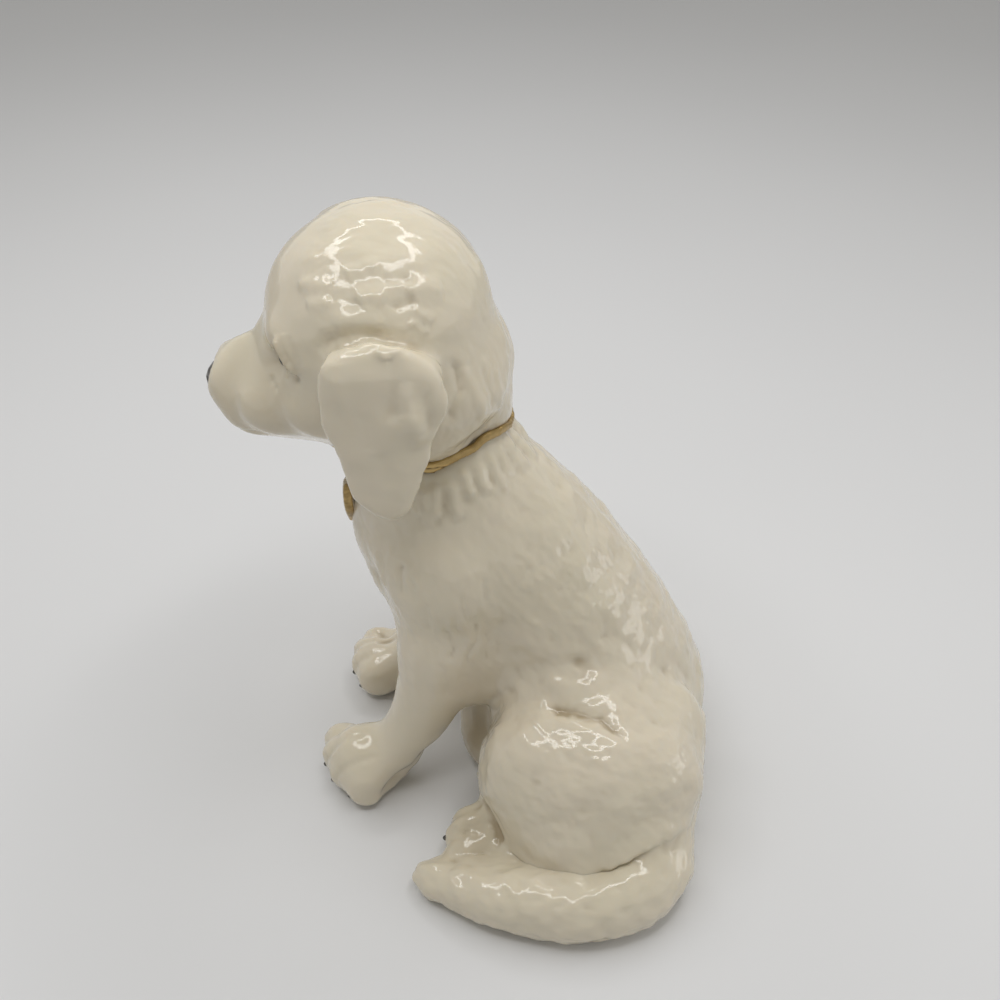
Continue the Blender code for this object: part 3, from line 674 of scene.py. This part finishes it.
def fused(name, castings, grain, fill, lumps):
    """The castings luted together: swollen to close the joints, joined, and melted to one skin."""
    copies = [slip_lump(*lump) for lump in lumps]
    for number, casting in enumerate(castings):
        copy = casting_copy(casting)
        copy.data.attributes["casting"].data.foreach_set("value", [number] * len(copy.data.polygons))
        swell = copy.modifiers.new("swell", "DISPLACE")
        swell.strength = fill
        swell.mid_level = 0.0
        apply_all(copy)
        copies.append(copy)
    bpy.ops.object.select_all(action="DESELECT")
    for copy in copies:
        copy.select_set(True)
    bpy.context.view_layer.objects.active = copies[0]
    bpy.ops.object.join()
    skin = bpy.context.object
    skin.name = skin.data.name = name
    mesh = skin.data
    owner = np.empty(len(mesh.polygons), np.int32)
    mesh.attributes["casting"].data.foreach_get("value", owner)
    corners = [v.co.copy() for v in mesh.vertices]
    tree = BVHTree.FromPolygons(corners, [tuple(p.vertices) for p in mesh.polygons])
    melt(skin, grain)
    keep_outside(skin)
    return skin, tree, owner


def keep_outside(skin):
    """Drops the pockets that the joints leave inside the skin."""
    shape = bmesh.new()
    shape.from_mesh(skin.data)
    left = set(shape.verts)
    islands = []
    while left:
        island = {left.pop()}
        front = list(island)
        while front:
            for edge in front.pop().link_edges:
                for corner in edge.verts:
                    if corner in left:
                        left.discard(corner)
                        island.add(corner)
                        front.append(corner)
        islands.append(island)
    islands.sort(key=len)
    for island in islands[:-1]:
        bmesh.ops.delete(shape, geom=list(island), context="VERTS")
    shape.to_mesh(skin.data)
    shape.free()


def belongings(clay, castings, tree, owner, passes):
    """For each casting, how far each point belongs to it, from 0 to 1, blurred over the joints."""
    found = np.array([owner[tree.find_nearest(Vector(p * MM))[2]] for p in clay.points])
    return {
        name: clay.spread((found == number).astype(float), passes) for number, name in enumerate(castings)
    }


def add_layer(mesh, name, values):
    layer = mesh.attributes.new(name, "FLOAT", "POINT")
    layer.data.foreach_set("value", values.astype(np.float32))


def finer(skin, shares):
    """One round of subdivision, which carries the shares along as attributes."""
    mesh = skin.data
    for name, values in shares.items():
        add_layer(mesh, name, values)
    smoother = skin.modifiers.new("finer", "SUBSURF")
    smoother.levels = smoother.render_levels = 1
    apply_all(skin)
    fine = {}
    for name in shares:
        flat = np.empty(len(mesh.vertices), np.float32)
        mesh.attributes[name].data.foreach_get("value", flat)
        fine[name] = flat.astype(float)
        mesh.attributes.remove(mesh.attributes[name])
    return fine


def pooled_glaze(clay, pools):
    """How far each point takes the dark pooled colour: glaze pooled in the valleys, partly real and partly
    painted shade, and painted shade at the given places.
    """
    level = clay.spread(clay.points, 14)
    hollow = ((level - clay.points) * clay.normals).sum(axis=1)
    hollow = clay.spread(hollow, 2)
    pool = between(hollow, 0.01, 0.36)
    for place, width, amount in pools:
        gap = np.linalg.norm(np.abs(clay.points * (1, 0, 0)) + clay.points * (0, 1, 1) - place, axis=1)
        pool = np.maximum(pool, amount * bell(gap / width))
    return pool


def hand_over(clay, material, nodes, slot, **layers):
    """Finishes a piece that stands for one casting or more."""
    piece = clay.piece
    mesh = piece.data
    for name, values in layers.items():
        add_layer(mesh, name, values)
    mesh.materials.clear()
    mesh.materials.append(material)
    mesh.shade_smooth()
    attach(piece, "root")
    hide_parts(*nodes)


def tuck(clay, share):
    """Draws in and lowers the inner toes of the near hind paw, or their claws."""
    x, y, z = clay.points.T
    inner = between(34 - x, 0, 8) * between(-y, 14, 20) * between(-z, -16, -12) * (x > 20) * share
    clay.move(np.stack([TOE_TUCK * inner, 0 * y, -TOE_DROP * inner * z], axis=1))


def toe_lines():
    """The grooves between the toes of each paw, from the floor over the front and back on top."""
    lines = []
    for (x, y, z), pitch, splay, roll, side in TOE_ROWS:
        for step in (-1, 0, 1):
            at, front = x + step * pitch, y + (abs(step) ** 1.6) * 1.35 + step * splay
            top = z + step * roll
            path = [
                (side * at, front - 4.8, top - 4.0), (side * at, front - 4.6, top + 0.5),
                (side * at, front - 2.2, top + 4.6), (side * at, front + 2.4, top + 7.6),
                (side * at, front + 6.5, top + 9.4),
            ]
            lines.append((path, 0.8, -0.32 if step else -0.42))
    return lines


def collar_fan():
    """Short tufts that hang from under the collar, all round the neck."""
    rng = np.random.default_rng(31)
    x, y, _ = COLLAR_MIDDLE
    lines = []
    for number in range(COLLAR_TUFTS):
        turn = math.radians(-72 + 10 * number + rng.uniform(-3, 3))
        lean, long = rng.uniform(-0.06, 0.06), rng.uniform(5, 10)
        climb = max(math.cos(2 * (turn - 0.87)), 0) * (turn > 0)
        top = COLLAR_FOOT + COLLAR_RISE * climb + 1.5 * math.sin(turn)
        path = []
        for t in (0, 0.35, 0.7, 1):
            at = turn + lean * t
            path.append((x + (15 + 3 * t) * math.cos(at), y + (15 + 4 * t) * math.sin(at), top - long * t))
        lines.append((path, rng.uniform(0.75, 1.1), rng.uniform(0.55, 0.85)))
    return lines


def between(values, low, high):
    """0 at or below low, 1 at or above high, and soft in between."""
    t = np.clip((values - low) / (high - low), 0, 1)
    return t * t * (3 - 2 * t)


def both(shares, word):
    return shares[word + "_left"] + shares[word + "_right"]


class FIGURINE_OT_body(bpy.types.Operator):
    """Models and glazes the body: torso, legs, haunches, paws and tail under one skin"""

    bl_idname = "figurine.body"
    bl_label = "Glazed Body"

    def execute(self, context):
        sizes, colours = context.scene.puppy_sizes, context.scene.puppy_colours
        grain, fill = sizes.body_grain, sizes.glaze_fill
        skin, tree, owner = fused("glazed_body", BODY_CASTINGS, grain, fill, SLIP_LUMPS)
        clay = Clay(skin)
        shares = belongings(clay, BODY_CASTINGS, tree, owner, 6)
        torso = shares["torso"]
        joint = np.zeros(clay.count)
        for name in ("foreleg_left", "foreleg_right", "haunch_left", "haunch_right", "tail"):
            joint = np.maximum(joint, 4 * torso * shares[name])
        joint = np.clip(clay.spread(joint, 6) * 1.6, 0, 1)
        x, y, z = clay.points.T
        haunches = both(shares, "haunch")
        hip = 4 * torso * haunches * between(z, 24, 31) * between(y, -15, -6)
        rump = 4 * np.maximum(torso * haunches, (torso + haunches) * shares["tail"]) * between(y, 9, 16)
        wide = np.clip(clay.spread(np.maximum(hip, rump), 24) * 2.2, 0, 1)
        paws = np.zeros(clay.count)
        low = np.clip((16 - z) / 6, 0, 1)
        for word in SIDES:
            paws = np.maximum(paws, np.maximum(shares["hind_paw_" + word], shares["foreleg_" + word] * low))
        weight = np.clip(0.75 + joint - 0.65 * paws, 0.1, 1)
        clay.smooth(16, weight)
        clay.smooth(40, joint, 0.0)
        clay.smooth(150, wide, 0.0)
        clay.fill(120, np.clip(joint + wide, 0, 1) * (1 - 0.8 * paws))
        clay.fill(30, 0.8 * between(paws, 0.75, 1.0))
        clay.drape()
        tuck(clay, shares["hind_paw_left"])
        x, y, z = clay.points.T
        hang = np.interp(y, *OVERHANG) * bell((z - LIP_HEIGHT) / LIP_REACH) * (x > 20)
        hang *= between(shares["haunch_left"], 0.35, 0.65)
        clay.move(hang[:, None] * (1.0, 0, -0.15))
        clay.carve((), BODY_FORMS)
        clay.carve((), PAW_FORMS, mirror=False)
        shares = finer(skin, shares)
        clay = Clay(skin)
        clay.smooth(3)
        clay.carve(list(BODY_LINES) + collar_fan(), BODY_SPOTS)
        clay.carve(toe_lines(), (), mirror=False)

        x, y, z = clay.points.T
        tail = between(shares["tail"], 0.3, 0.7)
        haunch = between(both(shares, "haunch"), 0.3, 0.7)
        back = between(y, -22, -6) * between(z, 16, 26) * (1 - tail)
        neck = between(z, 74, 82)
        legs = between(both(shares, "foreleg"), 0.3, 0.7)
        feet = np.clip(both(shares, "hind_paw") + legs * between(-z, -40, -24), 0, 1)
        flank = between(z, 40, 50) * between(-z, -76, -68)
        flow = np.stack([0 * x, 0.25 + 0.5 * back + 0.4 * haunch, -1 + 0.3 * haunch], axis=1)
        tailwards = along_path(clay.points, TAIL_LINE)[2]
        flow = clay.along_surface(flow * (1 - tail)[:, None] + tailwards * tail[:, None])
        furry = 0.35 + 0.4 * neck + 0.4 * flank + 0.1 * back + 0.65 * tail + 0.1 * haunch
        furry = np.clip(furry, 0, 1) * (1 - feet)
        finder = clay.finder()
        depth = sizes.fur_depth / MM
        relief = clay.locks(finder, flow, furry, 11, 2.7, 7.5, 0.85, depth, 0.45)
        marks = np.clip(0.4 + 0.4 * haunch + 0.1 * back, 0, 1) * (1 - feet)
        relief += clay.locks(finder, flow, marks, 14, 2.4, 3.6, 0.6, 0.7 * depth, 0.9)
        rough = np.clip(0.35 + 0.65 * back + 0.4 * haunch + 0.4 * tail - 0.3 * feet, 0.1, 1)
        relief += rough * (clay.swells(12, 4.6, 0.075) + clay.swells(13, 9.5, 0.15))
        relief += tail * clay.swells(15, 3.8, 0.08)
        clay.raise_by(relief - 0.15 * feet)
        clay.points[:, 2] = np.maximum(clay.points[:, 2], 0)
        clay.face_normals()
        # The dark layer: glaze pooled in the valleys, and painted shade at the listed places on the body
        glaze, pool = glaze_material("ivory_glaze_body", colours), pooled_glaze(clay, BODY_PAINTED_SHADE)
        hand_over(clay, glaze, BODY_CASTINGS, "ivory_glaze", pool=pool)
        return {"FINISHED"}


class FIGURINE_OT_head(bpy.types.Operator):
    """Models and glazes the head with its two ears"""

    bl_idname = "figurine.head"
    bl_label = "Glazed Head"

    def execute(self, context):
        sizes, colours = context.scene.puppy_sizes, context.scene.puppy_colours
        grain, fill = sizes.head_grain, sizes.glaze_fill
        skin, tree, owner = fused("glazed_head", HEAD_CASTINGS, grain, fill, HEAD_LUMPS)
        clay = Clay(skin)
        shares = belongings(clay, HEAD_CASTINGS, tree, owner, 4)
        ears = both(shares, "ear")
        clay.smooth(20, np.clip(1 - 0.6 * ears, 0.2, 1))
        face = between(-clay.points[:, 1], 46, 52) * (1 - ears)
        clay.fill(220, 0.9 * face)
        clay.drape()
        clay.carve((), HEAD_FORMS)
        x, y, z = clay.points.T
        front = np.clip((-30 - y) / 15, 0, 1)
        rear = np.clip((y + 40) / 8, 0, 1)
        flap = clay.spread(between(ears, 0.4, 0.9), 2)
        slide = np.interp(z, *EAR_PULL) * front - np.interp(z, *EAR_DENT) * rear
        lift = EAR_LIFT * bell((z - EAR_LIFT_HEIGHT) / EAR_LIFT_REACH) * front
        clay.move(np.stack([0 * x, slide * flap, lift * flap], axis=1))
        shares = finer(skin, shares)
        clay = Clay(skin)
        clay.smooth(3)
        clay.carve(HEAD_LINES + EAR_LINES, HEAD_SPOTS)

        x, y, z = clay.points.T
        ears = between(both(shares, "ear"), 0.3, 0.7)
        face = between(-y, 50, 58) * (1 - ears)
        nape = between(y, -36, -24) * between(-z, -118, -106)
        flow = np.stack([0 * x, 1 - 0.9 * nape - 0.8 * ears, -0.15 - nape - ears], axis=1)
        flow = clay.along_surface(flow)
        furry = np.clip(0.55 + 0.3 * nape - 0.5 * ears, 0, 1) * (1 - face)
        depth = sizes.fur_depth / MM
        relief = clay.locks(clay.finder(), flow, furry, 21, 3.4, 8.0, 1.15, depth, 0.5)
        calm = np.clip(1 - 0.65 * face, 0.1, 1)
        relief += calm * (clay.swells(22, 5.5, 0.05) + clay.swells(23, 11.0, 0.13))
        clay.raise_by(relief)
        # The dark layer: glaze pooled in the valleys, and painted shade round the eye, the muzzle and the
        # cheek
        glaze, pool = glaze_material("ivory_glaze_head", colours), pooled_glaze(clay, HEAD_PAINTED_SHADE)
        hand_over(clay, glaze, HEAD_CASTINGS, "ivory_glaze", pool=pool)
        return {"FINISHED"}


def trim(name, node, grain, smoothing):
    """A fine-grained copy of a small casting, ready to be worked."""
    piece = casting_copy(node)
    piece.name = piece.data.name = name
    melt(piece, grain)
    clay = Clay(piece)
    clay.smooth(smoothing)
    return clay


class FIGURINE_OT_collar(bpy.types.Operator):
    """Models and gilds the collar band, a thin raised line drawn round the neck by hand"""

    bl_idname = "figurine.collar"
    bl_label = "Gilt Collar"

    def execute(self, context):
        sizes, colours = context.scene.puppy_sizes, context.scene.puppy_colours
        clay = trim("gilt_collar", "collar", 0.24 * MM, 5)
        clay.drape()
        tilt = math.radians(COLLAR_TILT)
        up = np.array((0, -math.sin(tilt), math.cos(tilt)))
        off = (clay.points - COLLAR_MIDDLE) @ up
        x, y, _ = (clay.points - COLLAR_MIDDLE).T
        turn = np.arctan2(y, x)
        narrow = (sizes.collar_width / MM / 1.3) * (0.70 + 0.30 * between(-y, -14, 6))
        narrow = narrow * (1 + 0.10 * np.sin(7 * turn + 1) + 0.06 * np.sin(17 * turn))
        waver = 0.14 * np.sin(4 * turn + 2) + 0.06 * np.sin(9 * turn)
        clay.move(up * (off * (narrow - 1) + waver + 0.5)[:, None])
        share = np.abs(off) / 0.62
        line = bell((off - 0.06) / 0.13)
        clay.raise_by(0.3 - 0.14 * line)
        edge = np.maximum(between(share, 0.6, 1.0) * (0.3 + 0.5 * (off < 0)), 0.8 * line)
        hand_over(clay, gilding_material("collar_gilding", colours), ["collar"], "gilding", edge=edge)
        return {"FINISHED"}


class FIGURINE_OT_tag(bpy.types.Operator):
    """Models the heart tag: an ivory rim round a gilt field"""

    bl_idname = "figurine.tag"
    bl_label = "Gilt Tag"

    def execute(self, context):
        colours = context.scene.puppy_colours
        clay = trim("heart_tag", "collar_tag", 0.2 * MM, 4)
        foot = clay.points[:, 2].min()
        clay.points[:, 2] = foot + (clay.points[:, 2] - foot) * TAG_STRETCH
        clay.face_normals()
        y = clay.points[:, 1]
        side = np.abs(clay.normals[:, 0]) * between(y, *np.percentile(y, (12, 30)))
        front = clay.spread((clay.normals[:, 1] < -0.8).astype(float), 14)
        field = between(front, 0.80, 0.97)
        clay.raise_by(-0.22 * field)
        clay.smooth(2)
        z = clay.points[:, 2]
        loop = between(z, z.max() - 6, z.max() - 3)
        gilt = np.clip(field + loop + between(side, 0.3, 0.6), 0, 1)
        hand_over(clay, tag_material("tag_gilding", colours), ["collar_tag"], "gilding", gilt=gilt)
        return {"FINISHED"}


class FIGURINE_OT_enamel(bpy.types.Operator):
    """Models the nose and the eyes, and paints them and the claws with dark enamel"""

    bl_idname = "figurine.enamel"
    bl_label = "Enamel Drops"

    def execute(self, context):
        colours = context.scene.puppy_colours
        paint = enamel_material("dark_enamel", colours)
        low, high = (np.array(corner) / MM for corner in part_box("nose"))
        front, foot, middle = low[1], low[2], (low[2] + high[2]) / 2
        clay = trim("nose_enamel", "nose", 0.16 * MM, 3)
        clay.resize("nose", NOSE_SCALE, NOSE_SHIFT)
        clay.carve((), [((1.9, front + 0.7, middle - 0.4), 0.75, -0.75)])
        groove = ((0, front + 0.2, middle + 0.4), (0, front + 0.5, middle - 1), (0, front + 1.6, foot + 0.4))
        clay.carve([(groove, 0.3, -0.35)], (), mirror=False)
        hand_over(clay, paint, ["nose"], "dark_enamel")
        for word, side in SIDES.items():
            clay = trim("eye_enamel_" + word, "eye_" + word, 0.16 * MM, 2)
            outwards = np.array(EYE_AIM) * (side, 1, 1) / np.linalg.norm(EYE_AIM)
            clay.resize("eye_" + word, EYE_SCALE, -outwards * EYE_SINK)
            hand_over(clay, paint, ["eye_" + word], "dark_enamel")
        for name in [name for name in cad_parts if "_claw_" in name]:
            clay = trim(name + "_enamel", name, 0.14 * MM, 2)
            near_hind = name.startswith("hind_claw_left")
            clay.resize(name, CLAW_SCALE, HIND_CLAW_SHIFT if near_hind else CLAW_SHIFT)
            tuck(clay, float(near_hind))
            hand_over(clay, paint, [name], "dark_enamel")
        return {"FINISHED"}


def area_lamp(name, place, size, power):
    """A plain rectangular lamp that the camera does not see."""
    data = bpy.data.lights.new(name, "AREA")
    data.shape = "RECTANGLE"
    data.size, data.size_y = size
    data.energy = power
    lamp = bpy.data.objects.new(name, data)
    bpy.context.scene.collection.objects.link(lamp)
    lamp.location = place
    lamp.visible_camera = False
    return lamp


def soft_fill():
    """The room's even light, and the pale walls that the glaze mirrors."""
    world = bpy.data.worlds.new("soft_fill")
    world.use_nodes = True
    net = NodeNet(world.node_tree, "Background")
    height = net.nodes.new("ShaderNodeSeparateXYZ")
    net.feed(height.inputs, Vector=net.nodes.new("ShaderNodeTexCoord").outputs["Generated"])
    wall = net.span(height.outputs["Z"], 0.0, WALL_TOP, WALL_GLOW, FILL_STRENGTH)
    mirrored = net.nodes.new("ShaderNodeLightPath").outputs["Is Glossy Ray"]
    net.finish(Color=(*FILL_TINT, 1), Strength=net.mix(mirrored, FILL_STRENGTH, wall, "FLOAT"))
    return world


class FIGURINE_OT_stage(bpy.types.Operator):
    """Sets the floor, the ring lamp, the soft fill and the camera"""

    bl_idname = "figurine.stage"
    bl_label = "Stage and Lights"

    def execute(self, context):
        scene = context.scene
        sizes, colours = scene.puppy_sizes, scene.puppy_colours
        bpy.ops.object.select_all(action="DESELECT")
        bpy.ops.mesh.primitive_plane_add(size=FLOOR_SIZE)
        floor = context.object
        floor.name = "floor"
        floor.data.materials.append(floor_material("floor_paper", colours))

        radius = sizes.ring_radius
        tube = (sizes.ring_width, 2.04 * radius * math.tan(math.pi / RING_TUBES))
        for number in range(RING_TUBES):
            angle = 2 * math.pi * number / RING_TUBES
            across, along = radius * math.cos(angle), radius * math.sin(angle)
            place = (RING_MIDDLE[0] + across, RING_MIDDLE[1] + along, sizes.ring_height)
            lamp = area_lamp("ring_tube", place, tube, RING_POWER / RING_TUBES)
            lamp.data.color = RING_TINT
            lamp.rotation_euler = (0, 0, angle)

        glint, side = area_lamp("back_lamp", *BACK_LAMP), area_lamp("side_lamp", *SIDE_LAMP)
        for lamp in (glint, side):
            aim = Vector(LAMP_AIM) - lamp.location
            lamp.rotation_euler = aim.to_track_quat("-Z", "Y").to_euler()
        glint.visible_diffuse = side.visible_glossy = False
        only = bpy.data.collections.new("glint_on_body")
        only.objects.link(bpy.data.objects["glazed_body"])
        glint.light_linking.receiver_collection = only
        scene.world = soft_fill()

        data = bpy.data.cameras.new("camera")
        data.lens = CAMERA_LENS
        data.sensor_width = CAMERA_SENSOR
        data.clip_start = 0.01
        camera = bpy.data.objects.new("camera", data)
        scene.collection.objects.link(camera)
        camera.rotation_euler = (math.radians(90 - CAMERA_ELEVATION), 0, math.radians(CAMERA_AZIMUTH))
        back = camera.rotation_euler.to_matrix() @ Vector((0, 0, CAMERA_DISTANCE))
        camera.location = Vector(CAMERA_AIM) + back
        scene.camera = camera
        scene.view_settings.view_transform = "Standard"
        return {"FINISHED"}


class FIGURINE_PT_puppy(bpy.types.Panel):
    """Lists the steps that make the puppy"""

    bl_idname = "FIGURINE_PT_puppy"
    bl_label = "Porcelain Puppy"
    bl_space_type = "VIEW_3D"
    bl_region_type = "UI"
    bl_category = "Puppy"

    def draw(self, context):
        for group in (context.scene.puppy_sizes, context.scene.puppy_colours):
            for name in type(group).__annotations__:
                self.layout.prop(group, name)
        for step in STEPS:
            self.layout.operator(step.bl_idname)


STEPS = (
    FIGURINE_OT_body, FIGURINE_OT_head, FIGURINE_OT_collar, FIGURINE_OT_tag, FIGURINE_OT_enamel,
    FIGURINE_OT_stage,
)
CLASSES = (PuppySizes, PuppyColours, *STEPS, FIGURINE_PT_puppy)


def register():
    for cls in CLASSES:
        bpy.utils.register_class(cls)
    bpy.types.Scene.puppy_sizes = bpy.props.PointerProperty(type=PuppySizes)
    bpy.types.Scene.puppy_colours = bpy.props.PointerProperty(type=PuppyColours)


def unregister():
    del bpy.types.Scene.puppy_sizes
    del bpy.types.Scene.puppy_colours
    for cls in reversed(CLASSES):
        bpy.utils.unregister_class(cls)


def main():
    register()
    for step in STEPS:
        word = step.bl_idname.split(".")[1]
        getattr(bpy.ops.figurine, word)()


if __name__ == "__main__":
    main()
